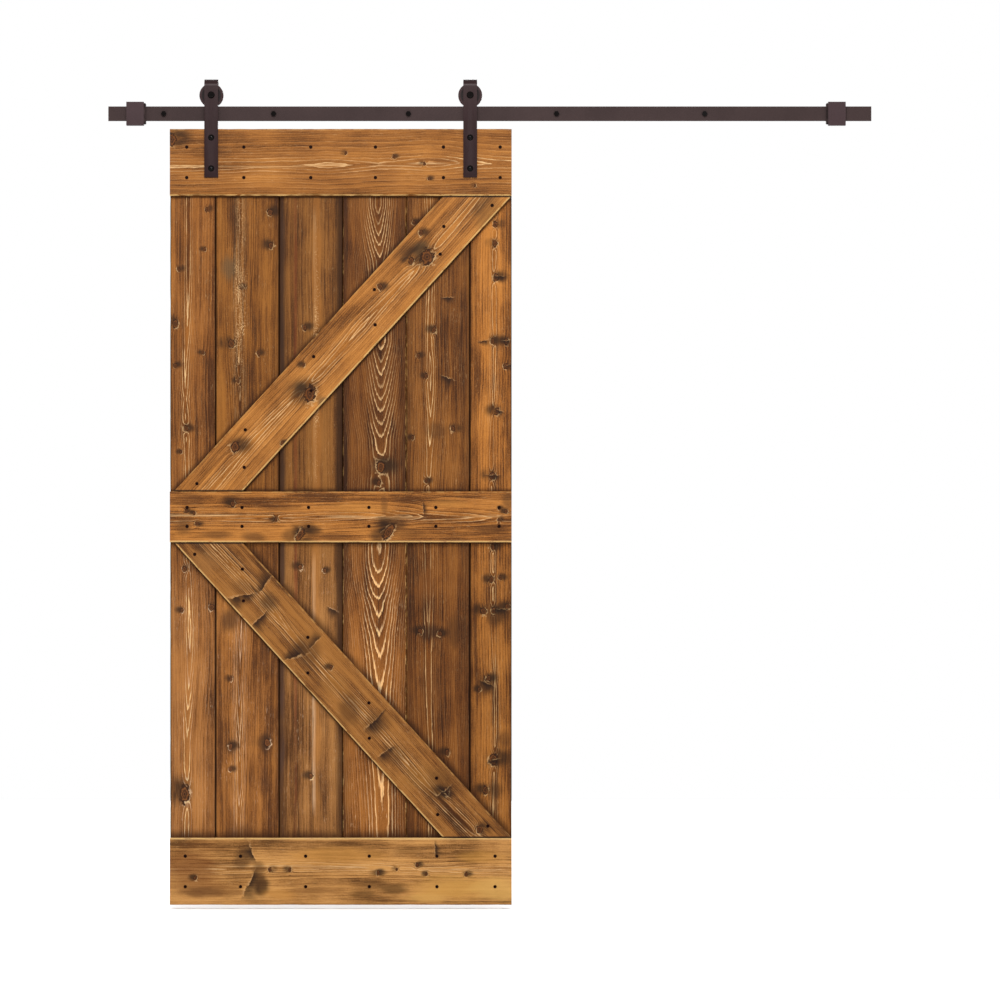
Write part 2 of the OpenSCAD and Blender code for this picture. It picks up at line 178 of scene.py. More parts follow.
studio = {
    "away": 14.0,  # camera to the face of the door
    "view": 2.75,  # width that the camera takes in
    "sensor": 36.0,  # millimetres
    "farthest": 100.0,
    "right": 0.028,  # middle of the view, from the middle of the object
    "down": 0.022,
    "sky": 1.0,
    "aim": (0.25, 0, -1.0),  # where the large lights point
    "floorGap": 0.012,  # floor below the leaf
    "floor": ((-7, -6), (7, -6), (7, 5), (-7, 5)),
    "floorShades": ((0.93, 0.93, 0.925), (0.96, 0.96, 0.955)),
}


def makeCamera():
    data = bpy.data.cameras.new("doorCamera")
    data.type = "PERSP"
    data.sensor_width = studio["sensor"]
    data.lens = studio["sensor"] * studio["away"] / studio["view"]
    data.clip_end = studio["farthest"]
    camera = newObject("doorCamera", data)
    camera.location = (
        (boxLow.x + boxHigh.x) / 2 + studio["right"],
        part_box("top_rail")[0].y - studio["away"],
        (boxLow.z + boxHigh.z) / 2 - studio["down"],
    )
    camera.rotation_euler = (math.radians(90), 0, 0)
    bpy.context.scene.camera = camera


def softLight(name, place, aim, size, power):
    data = bpy.data.lights.new(name, "AREA")
    data.shape = "RECTANGLE"
    data.size, data.size_y = size
    data.energy = power
    light = newObject(name, data)
    light.location = place
    light.rotation_euler = (Vector(aim) - Vector(place)).to_track_quat("-Z", "Y").to_euler()


def makeStudio():
    sky = bpy.data.worlds.new("studioSky")
    sky.use_nodes = True
    back = sky.node_tree.nodes["Background"]
    back.inputs["Color"].default_value = (1, 1, 1, 1)
    back.inputs["Strength"].default_value = studio["sky"]
    bpy.context.scene.world = sky
    bpy.context.scene.view_settings.view_transform = "Standard"
    # place, aim, size and power
    softLight("keyLight", (-0.35, -5.4, 2.5), studio["aim"], (2.4, 2.0), 330.0)
    softLight("sparkLight", (0.1, -3.2, 1.6), (0.1, 0, 0), (0.35, 0.25), 26.0)
    softLight("backLight", (0.8, 5.0, 1.2), studio["aim"], (3.0, 3.0), 150.0)
    softLight("fillLight", (2.6, -6.0, 0.2), studio["aim"], (3.0, 3.0), 60.0)
    mesh = bpy.data.meshes.new("studioFloor")
    z = boxLow.z - studio["floorGap"]
    mesh.from_pydata([(x, y, z) for x, y in studio["floor"]], [], [(0, 1, 2, 3)])
    floor = newObject("studioFloor", mesh)
    newMaterial("floorPaint")
    canvas["colour"] = blend(noise(objectPoint(), (3, 3, 3), 3), *studio["floorShades"])
    mesh.materials.append(finish(0.8))
    print("camera, lights and floor made")


steelLooks = {
    "trackCoat": {"base": (0.0268, 0.0170, 0.0164), "rough": 0.5, "gloss": 0.05},
    "stopCoat": {"base": (0.0325, 0.0201, 0.0215), "rough": 0.5, "gloss": 0.05},
    "strapCoat": {"base": (0.0150, 0.0064, 0.0067), "rough": 0.33, "gloss": 0.10},
    "wheelCoat": {"base": (0.0215, 0.0088, 0.0090), "rough": 0.32, "gloss": 0.12},
    "blackBolt": {"base": (0.0012, 0.0005, 0.0004), "rough": 0.13, "gloss": 0.09},
    "screwBlack": {"base": (0.0075, 0.0022, 0.0012), "rough": 0.42, "gloss": 0.03},
}


def coatedSteel(name):
    look = steelLooks[name]
    base = look["base"]
    newMaterial(name)
    point = objectPoint()
    cloud = noise(point, (9, 9, 9), 3)
    grain = noise(point, (1400, 1400, 1400))
    rub = noise(point, (160, 160, 60), 4, 0.65)
    canvas["colour"] = blend(cloud, tint(base, 0.72), tint(base, 1.28))
    if name == "wheelCoat":  # painted shadow of the strap: darker inside the flange
        hubShadow = None
        for node in ("wheel_left", "wheel_right"):
            low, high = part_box(node)
            gap = vectorCalc("SUBTRACT", point, tuple((low + high) / 2))
            hubShadow = nearer(hubShadow, lengthOf(spread(gap, (1, 0, 1))))
        rim = (high.z - low.z) / 2
        over(ramp(hubShadow, rim * 0.9, rim * 0.76, 0.0, 0.85), tint(base, 0.2))
    over(ramp(rub, 0.66, 0.82, 0.0, 0.16), tuple(v * 2.2 + 0.003 for v in base))
    sheen = timesPlus(rub, 0.22, look["rough"] - 0.08)
    return finish(sheen, metallic=0.1, height=timesPlus(rub, 0.5, grain), depth=0.00005, gloss=look["gloss"])


def bareSteel():
    newMaterial("bearingSteel")
    point = objectPoint()
    turned = noise(point, (200, 4000, 200))
    grime = noise(point, (260, 260, 260), 3)
    canvas["colour"] = blend(ramp(grime, 0.5, 0.75), (0.46, 0.46, 0.47), (0.13, 0.1, 0.08))
    return finish(timesPlus(grime, 0.35, 0.12), metallic=1.0, height=turned, depth=0.00003)


def bumperRubber():
    newMaterial("bumperRubber")
    point = objectPoint()
    dust = noise(point, (70, 70, 70), 4)
    pores = noise(point, (1900, 1900, 1900))
    canvas["colour"] = blend(ramp(dust, 0.45, 0.8), stain((40, 30, 30), 0.5), stain((66, 52, 51), 0.5))
    return finish(0.72, height=pores, depth=0.00012, gloss=0.05)


woodLook = {
    "cast": (0.44, 0.375, 0.225),  # how much of the stain's colour the wood shows under these lights
    "honey": (240, 194, 136),
    "honeyGain": 0.5,
    "knot": (134, 84, 46),
    "knotHeart": (78, 48, 28),
    "knotRim": (52, 30, 18),
    # colour of the painted shadow beside each knot
    "knotShadow": (52, 34, 21),
    "spikeSmear": (46, 28, 18),
    "darkest": (0.30, 0.25, 0.16),  # darkest and palest stain, beside the piece's own colour
    "palest": (1.7, 1.9, 2.15),
    "pores": 0.22,
    "shadowAndEdgeDark": (0.16, 0.13, 0.11),  # colour of the painted shadow along rails and braces, and of the darker strips along the long edges of boards
    "limit": (1.2, 1.08, 0.95),  # keeps the pale lines golden
    "midTone": 0.45,
    "warp": (0.0056, 0.002, 0.0084),
    "fineWarp": (0.006, 0, 0.006),
    "archPower": 1.4,  # 2 for round arches, 1 for sharp ones
    "knotLong": 1.35,  # length of a knot beside its width, where its piece doesn't say
    "through": 10.0,  # marks reach right through a board
}

woodNoise = {
    # how fine it is across, through and along, then its detail and roughness
    "ragged": ((130, 130, 90), 3),
    "drift": ((11, 11, 2.6), 2),
    "jagged": ((360, 360, 26), 2),
    "patchy": ((34, 34, 9), 3),
    "broad": ((18, 18, 0.9), 3),
    "narrow": ((150, 150, 4.0), 3, 0.6),
    "thin": ((420, 420, 7.0), 3, 0.7),
    "fibre": ((1100, 1100, 40), 2, 0.6),
    "blotch": ((13, 13, 6), 3),
    "grit": ((420, 420, 300), 3, 0.7),
    "fleck": ((560, 560, 48), 2),
    "pore": ((700, 700, 26), 2),
    "chips": ((75, 75, 65), 4, 0.7),
    "flakes": ((80, 80, 30), 4, 0.7),
}
toneMix = {"broad": 1.5, "narrow": 0.9, "thin": 1.25, "fibre": 0.7, "blotch": 1.55, "grit": 1.1}


def mark(point, toPiece, x, down, wide, tall, turn=0.0):
    # the point as seen from a mark on the piece, in sizes of the mark
    across, along, turned = toPiece(x, down, turn)
    return add("ShaderNodeMapping", {
        "Vector": point, "Location": (across, 0, along), "Rotation": (0, turned, 0),
        "Scale": (wide, woodLook["through"], tall)}, vector_type="TEXTURE")[0]


def knotDistances(point, spots, toPiece):
    # distances in knot sizes: to the knot, and to points beside it for its painted highlight (a pale
    # crescent) and its painted shadow (a dark smear) on the other side
    nearest = highlightSide = smear = None
    bend = 0.0
    for i, (x, down, size, *rest) in enumerate(spots):
        long, turn = (*rest, 0.0)[:2] if rest else (woodLook["knotLong"], 0.0)
        seen = mark(point, toPiece, x, down, size, size * long, turn)
        far = lengthOf(seen)
        way = 1 if i % 2 else -1
        # a point to one side for the painted highlight, and one to the other side for the painted shadow
        beside = lengthOf(vectorCalc("ADD", seen, (0.42 * way, 0, 0.3)))
        behind = lengthOf(vectorCalc("MULTIPLY_ADD", seen, (0.5, 1, 0.9), (0.75 * way, 0, 0.35)))
        nearest, highlightSide, smear = nearer(nearest, far), nearer(highlightSide, beside), nearer(smear, behind)
        falloff = calc("POWER", 0.55, calc("POWER", far, 1.5))
        bend = timesPlus(falloff, 3.0 if long < 2.5 else 1.6, bend)
    return nearest, highlightSide, smear, bend


def spikeKnots(point, spots, toPiece, ragged):
    smear = crest = 0.0
    for x, down, size, long, turn in spots:
        side, _, length = split(mark(point, toPiece, x, down, size, size * long, turn))
        side = calc("DIVIDE", side, ramp(length, -1.0, 1.0, 0.35, 1.25))  # widens to one end
        side = calc("ADD", side, ragged)
        taper = ramp(calc("ABSOLUTE", length), 1.0, 0.3)
        smear = calc("MAXIMUM", smear, times(ramp(side, -5.0, 0.7), ramp(side, 0.95, 0.7), taper))
        crest = calc("MAXIMUM", crest, times(ramp(side, 0.85, 1.05), ramp(side, 1.5, 1.15), taper))
    return smear, crest


shadowBandReach = {
    # reach and strength of the painted shadow band above each piece
    "top_rail": (0.001, 0.0), "bottom_rail": (0.03, 0.85), "middle_rail": (0.014, 0.8),
    "upper_brace": (0.016, 0.75), "lower_brace": (0.024, 0.8),
}
# the thin painted shadow line below each rail and brace
shadowLineBelow = {"reach": 0.007, "full": 0.002, "strength": 0.85, "overlap": 0.012}


def paintedShadowBands():
    # painted shadow on the boards along rails and braces: a broad band on the upper side, a thin line on the
    # lower
    x, y, z = split(objectPoint())
    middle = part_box("middle_rail")
    bands = 0.0
    for node, (reach, strength) in shadowBandReach.items():
        low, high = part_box(node)
        if node.endswith("rail"):
            above = calc("SUBTRACT", z, high.z)
            thick = high.z - low.z
        else:
            slope, flat, rise = braceSlope(node)
            start = Vector((low.x, 0, low.z)) if rise > 0 else Vector((low.x + flat, 0, high.z))
            normal = Vector((-rise * math.sin(slope), 0, math.cos(slope)))
            above = timesPlus(x, normal.x, times(z, normal.z))
            above = calc("SUBTRACT", above, start.dot(normal))
            thick = flat * math.sin(slope)
        band = times(ramp(above, reach, 0.0, 0.0, strength),
                     calc("GREATER_THAN", above, -shadowLineBelow["overlap"]))
        under = times(ramp(above, -thick - shadowLineBelow["reach"], -thick - shadowLineBelow["full"], 0.0,
                           shadowLineBelow["strength"]),
                      calc("LESS_THAN", above, -thick + shadowLineBelow["overlap"]))
        band = calc("MAXIMUM", band, under)
        if node == "upper_brace":
            band = times(band, calc("GREATER_THAN", z, middle[1].z))
        if node == "lower_brace":
            band = times(band, calc("LESS_THAN", z, middle[0].z))
        bands = calc("MAXIMUM", bands, band)
    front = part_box("board_1")[0].y
    return times(bands, ramp(y, front + 0.008, front + 0.004))


def braceSlope(node):
    low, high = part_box(node)
    rise = braces[node]["rise"]
    foot = low.z if rise > 0 else high.z
    cutXs = [v.co.x for v in nodes[node].data.vertices if abs(v.co.z - foot) < samePlace]
    flat = max(cutXs) - min(cutXs)
    return math.atan2(high.z - low.z, high.x - low.x - flat), flat, rise


def pineFinish(name, piece, toPiece, width):
    newMaterial(name)
    seed, gain = piece["seed"], woodLook["cast"]
    mid = stain(piece["mid"], gain)
    honey = stain(woodLook["honey"], woodLook["honeyGain"])
    point, pith = stored("boardPoint"), stored("grainPoint")
    own = vectorCalc("ADD", point, (seed * 1.7, seed * 0.9, seed * 2.3))
    layer = {title: noise(own, *look) for title, look in woodNoise.items()}
    patchy, chips = layer["patchy"], layer["chips"]

    def shaken(scale, detail, reach):
        colour = noise(own, scale, detail, output="Color")
        return spread(vectorCalc("SUBTRACT", colour, (0.5, 0.5, 0.5)), reach)

    warp = shaken((26, 26, 5), 3, woodLook["warp"])
    bent = vectorCalc("ADD", point, warp)
    fineWarp = shaken((170, 170, 60), 2, woodLook["fineWarp"])

    knotPoint = vectorCalc("MULTIPLY_ADD", fineWarp, (0.7, 0, 0.7), bent)
    knotFar, knotHighlightFar, knotShadowFar, knotBend = knotDistances(knotPoint, piece["knots"], toPiece)
    ragged = timesPlus(layer["ragged"], 1.7, 0.15)
    knotFar, knotHighlightFar = times(knotFar, ragged), times(knotHighlightFar, ragged)

    # the rings lie round the pith, pushed aside by knots
    sideways, inwards, _ = split(vectorCalc("ADD", pith, warp))
    power = piece.get("archPower", woodLook["archPower"])
    sideways = times(calc("ABSOLUTE", sideways), piece.get("squeeze", 1.6))
    away = calc("ADD", calc("POWER", sideways, power), calc("POWER", inwards, power))
    phase = calc("DIVIDE", calc("POWER", away, 1 / power), piece["ring"])
    phase = calc("ADD", phase, knotBend)
    phase = timesPlus(layer["drift"], 1.6, phase)
    phase = timesPlus(layer["jagged"], 0.55, phase)

    # growth rings: a thin pale line at the end of each year, darker just after it
    year = calc("FRACT", phase)
    yearId = calc("ADD", calc("FLOOR", phase), seed)
    chance = add("ShaderNodeTexWhiteNoise", {"W": yearId}, noise_dimensions="1D")["Value"]
    strength = times(ramp(chance, 0.0, 0.7, 0.45, 1.0), ramp(patchy, 0.34, 0.52, 0.35, 1.0))
    line = times(ramp(year, 0.66, 0.93), ramp(year, 1.0, 0.95), strength,
                 ramp(sideways, *piece.get("archReach", (0.018, 0.055)), 1.0, 0.14))

    # stain: streaks, fibres, blotches and grit, and a tone of its own for each year
    tone = -0.75
    for title, weight in toneMix.items():
        tone = timesPlus(layer[title], weight, tone)
    tone = calc("ADD", tone, -2.35)
    tone = timesPlus(year, 0.22, tone)
    tone = timesPlus(ramp(chance, 0, 1, -0.14, 0.14), 1.0, tone)
    contrast = piece.get("contrast", 1.0)
    tone = timesPlus(tone, contrast, woodLook["midTone"] * (1 - contrast))
    canvas["colour"] = add("ShaderNodeValToRGB", {"Fac": tone})["Color"]
    stops = canvas["colour"].node.color_ramp.elements
    stops[0].position, stops[1].position = 0.0, 1.0
    stops[0].color = (*tint(mid, woodLook["darkest"]), 1)
    stops[1].color = (*tint(mid, woodLook["palest"]), 1)
    stops.new(woodLook["midTone"]).color = (*mid, 1)

    over(times(line, piece.get("lines", 0.85)), honey)
    for centre, reach, start, stop, amount in piece["streaks"]:
        u, _, v = split(bent)
        off = calc("ABSOLUTE", calc("SUBTRACT", u, centre))
        over(times(ramp(off, reach, reach * 0.3), ramp(v, start, start + 0.06), ramp(v, stop, stop - 0.06),
                   ramp(layer["thin"], 0.36, 0.56, 0.3 * amount, amount)), honey)
    # short pale flecks and dark pores along the fibres
    over(times(ramp(layer["fleck"], 0.60, 0.70), ramp(patchy, 0.45, 0.65, 0.04, 0.3)), honey)
    pore = times(ramp(layer["pore"], 0.40, 0.28), ramp(layer["broad"], 0.35, 0.65, 0.8, 0.35))
    over(pore, tint(mid, woodLook["pores"]))

    # greyer, darker and paler patches of stain
    for x, down, wide, tall, most, shade in piece["patches"]:
        far = lengthOf(mark(bent, toPiece, x, down, wide, tall))
        edge = timesPlus(patchy, 1.2, calc("ADD", far, -0.6))
        over(ramp(edge, 1.1, 0.3, 0.0, most), stain(shade, gain))

    # knots: a painted shadow on one side and a painted highlight of pale grain on the other, a dark rim and
    # a reddish ringed heart
    knotShadow = times(ramp(knotShadowFar, 2.3, 0.5), ramp(patchy, 0.34, 0.52, 0.35, 1.0), 0.85)
    over(knotShadow, stain(woodLook["knotShadow"], gain))
    knotHighlight = times(ramp(knotFar, 1.6, 1.3), ramp(knotHighlightFar, 1.4, 1.65), ramp(chips, 0.4, 0.52, 0.12, 0.55))
    over(knotHighlight, honey)
    parts = ("knot", "knotHeart", "knotRim")
    knotShade, heartShade, rimShade = (stain(woodLook[part], gain) for part in parts)
    heartRings = calc("SINE", times(knotFar, 11.0))
    heart = blend(ramp(heartRings, -1, 1.6), heartShade, knotShade)
    heart = blend(ramp(knotFar, 0.28, 0.1), heart, rimShade)
    rim = times(ramp(knotFar, 0.72, 0.95), ramp(knotFar, 1.2, 1.05))
    over(ramp(knotFar, 1.08, 0.95), heart)
    over(times(rim, 0.85), rimShade)
    if piece["spikes"]:
        smear, crest = spikeKnots(vectorCalc("ADD", bent, fineWarp), piece["spikes"], toPiece,
                                  timesPlus(chips, 2.6, -1.3))
        over(times(smear, ramp(patchy, 0.3, 0.5, 0.55, 1.0), 0.95), stain(woodLook["spikeSmear"], gain))
        over(times(crest, ramp(chips, 0.4, 0.58, 0.05, 0.34)), honey)

    def sides(outer, inner):
        return (outer, inner), (width - outer, width - inner)

    # edges: worn and pale on rails and braces, partly wear and partly a painted highlight; dark and chipped
    # in the joints of the boards
    across, depth, _ = split(point)
    nearFront = ramp(depth, 0.010, 0.004)
    reach = piece["edgeReach"]
    for side, (shade, amount, least) in zip(sides(reach, reach * 0.4), piece["edges"]):
        flaked = ramp(layer["flakes"], least, least + 0.12, 0.0, amount)
        over(times(ramp(across, *side), nearFront, flaked), stain(shade, gain))

    # painted shadow along the rails and braces, and darker strips along the long edges of each board
    shadowAndEdgeDark = 0.0
    for side, amount in zip(sides(0.03, 0.001), piece.get("shade", (0.0, 0.0))):
        shadowAndEdgeDark = timesPlus(ramp(across, *side), amount, shadowAndEdgeDark)
    if name.startswith("board"):
        shadowAndEdgeDark = calc("MAXIMUM", shadowAndEdgeDark, paintedShadowBands())
    over(times(shadowAndEdgeDark, ramp(patchy, 0.25, 0.6, 0.65, 1.0)), tint(mid, woodLook["shadowAndEdgeDark"]))

    if "pitted" in piece:
        zone = ramp(lengthOf(mark(bent, toPiece, *piece["pitted"])), 1.3, 0.2)
        cells = add("ShaderNodeTexVoronoi", {"Vector": spread(own, (360, 360, 250)), "Scale": 1.0})
        pits = calc("SUBTRACT", times(zone, 0.42), cells["Distance"])
        over(times(ramp(pits, -0.08, 0.1, 0.0, 0.8), ramp(patchy, 0.4, 0.6, 0.25, 1.0)), honey)

    z = split(objectPoint())[2]
    if "lower" in piece:  # the lower panel has a stain of its own
        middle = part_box("middle_rail")[0].z
        amount = ramp(z, middle + 0.15, middle - 0.25)
        over(1.0, blend(amount, (1, 1, 1), piece["lower"]), "MULTIPLY")
        over(1.0, tint(honey, woodLook["limit"]), "DARKEN")
    if "rise" in piece:  # painted shadow at the cut ends of a brace, where it meets a rail
        bottom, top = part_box(name[:-5])
        endShadow = calc("MAXIMUM", ramp(z, top.z - 0.006, top.z - 0.002),
                   ramp(z, bottom.z + 0.006, bottom.z + 0.002))
        over(times(endShadow, 0.92), stain(woodLook["knotRim"], 0.12))

    roughness = timesPlus(line, -0.08, timesPlus(layer["narrow"], 0.3, 0.42))
    height = timesPlus(line, 0.6, times(layer["fibre"], 0.45))
    height = timesPlus(rim, -0.8, height)
    height = timesPlus(layer["narrow"], 0.5, height)
    return finish(roughness, height=height, depth=0.0009, gloss=0.08, strength=0.8)


jointShape = {"v": 0.0025, "tongue": 0.008, "tongueT": 0.006, "grooveT": 0.0066, "grooveL": 0.0078}
sweep = {
    "railEase": 0.0025,  # radius of the front edges of rails and braces
    "front": 0.0026,  # the front of an outline is as deep as this, and has finer steps
    "fineStep": 0.0045,
    "backStep": 0.012,
    "row": 0.006,
    "endStep": 0.0008,
    "endEase": 0.0007,
    "sharp": 38,  # degrees
}
edgeWear = {
    "each": 14,  # knocks in a metre
    "reach": (0.004, 0.03),
    "size": (0.0002, 0.0011),
    "most": 0.0022,
    "wide": 0.007,
    "deep": 0.009,
    "slant": 0.6,
    "boardReach": 0.0034,  # how far the finish of an edge comes in
    "railReach": 0.0052,
}
# shade of an edge, how strong it is, and how much of the edge is left as it is
dark = ((34, 20, 13), 0.95, 0.0)
seam = ((32, 20, 14), 0.9, 0.1)
chipped = ((226, 184, 138), 0.9, 0.48)
# pale edge: partly wear, partly a painted highlight along the edge
wornAndLitEdge = ((242, 208, 164), 0.9, 0.36)
soft = ((210, 168, 120), 0.6, 0.46)

# Lengths in these tables are in millimetres. Knots, spikes, patches and pits are placed across and down the
# leaf from its top left corner: a knot or spike is (across, down, size, length, turn) and a patch (across,
# down, wide, tall, strength, shade). Tips and streaks are placed along their piece: a tip is the end of an
# arch of grain and the way it points, and a streak is (across, reach, start, stop, strength).
boards = {
    "board_1": {
        "shade": (0.1, 0.1), "mid": (143, 91, 47), "lower": (1.21, 1.34, 1.8), "seed": 1.0, "ring": 8.5,
        "depth": 3, "squeeze": 2.2, "archReach": (12, 34), "lines": 1.0, "centre": 48,
        "edges": (seam, seam),
        "tips": [
            (360, 1), (565, 1), (715, 1), (770, -1), (885, 1), (1285, -1), (1465, 1), (1550, 1), (1605, 1),
            (1685, 1)],
        "knots": [
            (100, 220, 4.2), (96, 330, 3.4), (22, 385, 4.2), (14, 535, 7.8), (14, 650, 4.2), (90, 615, 3.4),
            (44, 825, 5.5), (30, 890, 3.4), (40, 1210, 5.5), (33, 1325, 4.2), (114, 1317, 6.6),
            (40, 1830, 12, 1.9)],
    },
    "board_2": {
        "shade": (0.15, 0.35), "mid": (136, 87, 40), "contrast": 1.12, "lower": (1.44, 1.52, 2.05),
        "seed": 2.0, "ring": 6, "depth": 5, "squeeze": 2.2, "lines": 0.6, "centre": 193,
        "edges": (seam, seam), "pitted": (193, 460, 24, 340),
        "tips": [
            (341, 1), (520, 1), (600, 1), (660, 1), (750, 1), (860, 1), (1200, -1), (1310, -1), (1500, 1),
            (1600, 1), (1807, 1), (1875, 1)],
        "knots": [
            (275, 228, 6.6), (278, 319, 6.6), (193, 435, 4.2), (168, 591, 7.8), (242, 616, 4.2),
            (188, 693, 4.2), (201, 800, 4.2), (168, 1513, 4.2), (165, 1700, 5.5), (267, 1690, 7.8),
            (165, 1763, 4.2)],
        "patches": [
            (165, 380, 30, 45, 0.6, (104, 92, 82)), (165, 1350, 36, 45, 0.7, (62, 40, 26)),
            (262, 1690, 20, 35, 0.7, (66, 44, 28)), (168, 1700, 26, 30, 0.6, (74, 50, 32)),
            (200, 1950, 60, 50, 0.5, (86, 58, 38))],
    },
    "board_3": {
        "shade": (0.75, 0.75), "mid": (125, 82, 43), "contrast": 1.18, "lower": (1.54, 1.71, 2.3),
        "seed": 3.0, "ring": 3.6, "depth": 12, "centre": 270, "edges": (seam, dark),
        "pitted": (403, 620, 11, 420), "lines": 0.5,
        "streaks": [(96, 7, 1150, 1900, 0.35), (98, 6, 200, 1000, 0.3)],
        "tips": [(400, 1), (1500, -1)],
        "knots": [(371, 545, 5.5), (358, 1205, 5.5), (424, 1216, 4.2), (388, 1782, 5.5)],
        "spikes": [(446, 1326, 6, 4.0, 55)],
        "patches": [
            (308, 900, 10, 1300, 0.75, (80, 62, 60)), (466, 900, 14, 1400, 0.6, (44, 28, 18)),
            (403, 900, 16, 1600, 0.6, (176, 120, 66)), (345, 900, 6, 1200, 0.5, (122, 62, 38))],
    },
    "board_4": {
        "shade": (0.6, 0.4), "mid": (112, 68, 31), "contrast": 1.1, "lower": (1.84, 1.98, 2.3), "seed": 4.0,
        "ring": 4.8, "depth": 6, "centre": 578, "squeeze": 1.15, "archPower": 1.6, "archReach": (14, 60),
        "edges": (chipped, chipped), "lines": 0.95,
        "tips": [
            (210, 1), (240, 1), (270, 1), (300, 1), (330, 1), (360, 1), (586, 1), (620, 1), (652, 1),
            (685, 1), (720, 1), (752, 1), (785, 1), (820, 1), (853, 1), (1050, -1), (1100, -1), (1196, 1),
            (1235, 1), (1273, 1), (1300, 1), (1348, 1), (1386, 1), (1452, 1), (1546, 1), (1914, 1)],
        "knots": [(580, 930, 11), (575, 974, 5.5)],
        "patches": [(585, 925, 30, 30, 0.75, (92, 78, 66))],
    },
    "board_5": {
        "shade": (0.45, 0.4), "mid": (126, 79, 37), "contrast": 1.12, "lower": (0.87, 0.83, 0.78),
        "seed": 5.0, "ring": 8.5, "depth": 3, "centre": 713, "squeeze": 1.9, "lines": 1.0,
        "archReach": (12, 32), "edges": (chipped, dark),
        "tips": [(605, -1), (723, 1), (803, 1), (888, 1), (1202, 1), (1438, 1)],
        "knots": [
            (670, 256, 4.2), (727, 553, 5.5), (683, 622, 4.2), (705, 679, 4.2), (777, 825, 5.5),
            (667, 850, 4.2), (705, 968, 4.2), (689, 1381, 5.5), (741, 1389, 5.5), (763, 1716, 5.5)],
        "spikes": [(763, 465, 4, 6.0, 84), (762, 688, 6, 5.0, 62)],
        "patches": [
            (715, 1385, 45, 30, 0.7, (56, 36, 24)), (780, 1380, 25, 60, 0.5, (60, 40, 26)),
            (700, 1260, 30, 60, 0.45, (150, 98, 54)), (735, 830, 40, 30, 0.5, (84, 56, 36)),
            (720, 1550, 30, 80, 0.4, (150, 100, 58))],
    },
    "board_6": {
        "shade": (0.3, 0.1), "mid": (164, 106, 53), "contrast": 1.32, "lower": (0.84, 0.84, 0.8),
        "seed": 6.0, "ring": 7.5, "depth": 4, "centre": 890, "squeeze": 2.2, "lines": 1.0,
        "archReach": (12, 36), "edges": (seam, seam),
        "tips": [(500, 1), (900, -1), (1400, 1)],
        "knots": [
            (895, 261, 5.8), (895, 314, 5.8), (897, 407, 7.2), (887, 954, 7.2), (887, 583, 5.8),
            (925, 583, 5.8), (923, 652, 5.8), (900, 776, 7.2), (887, 1150, 5.8), (884, 1240, 5.8),
            (909, 1235, 4.5), (862, 1326, 7.2), (890, 1326, 5.8), (928, 1315, 5.8), (876, 1513, 5.8),
            (851, 1543, 4.5), (890, 1735, 11), (868, 1820, 7.2)],
        "spikes": [
            (907, 407, 4, 6.0, 80), (925, 583, 3.5, 5.0, 85), (862, 585, 3.5, 6.0, 95),
            (887, 954, 4, 8.0, 86), (930, 652, 3.5, 5.0, 100), (907, 776, 4, 4.0, 60),
            (909, 1325, 5, 6.0, 84), (870, 1530, 5, 6.0, 60), (890, 1740, 5, 5.0, 96)],
        "patches": [
            (900, 1335, 35, 35, 0.7, (70, 46, 28)), (872, 1530, 30, 40, 0.75, (62, 40, 26)),
            (895, 1820, 30, 35, 0.65, (70, 46, 28)), (900, 580, 30, 30, 0.55, (92, 60, 36)),
            (920, 1680, 30, 30, 0.5, (78, 50, 30))],
    },
}
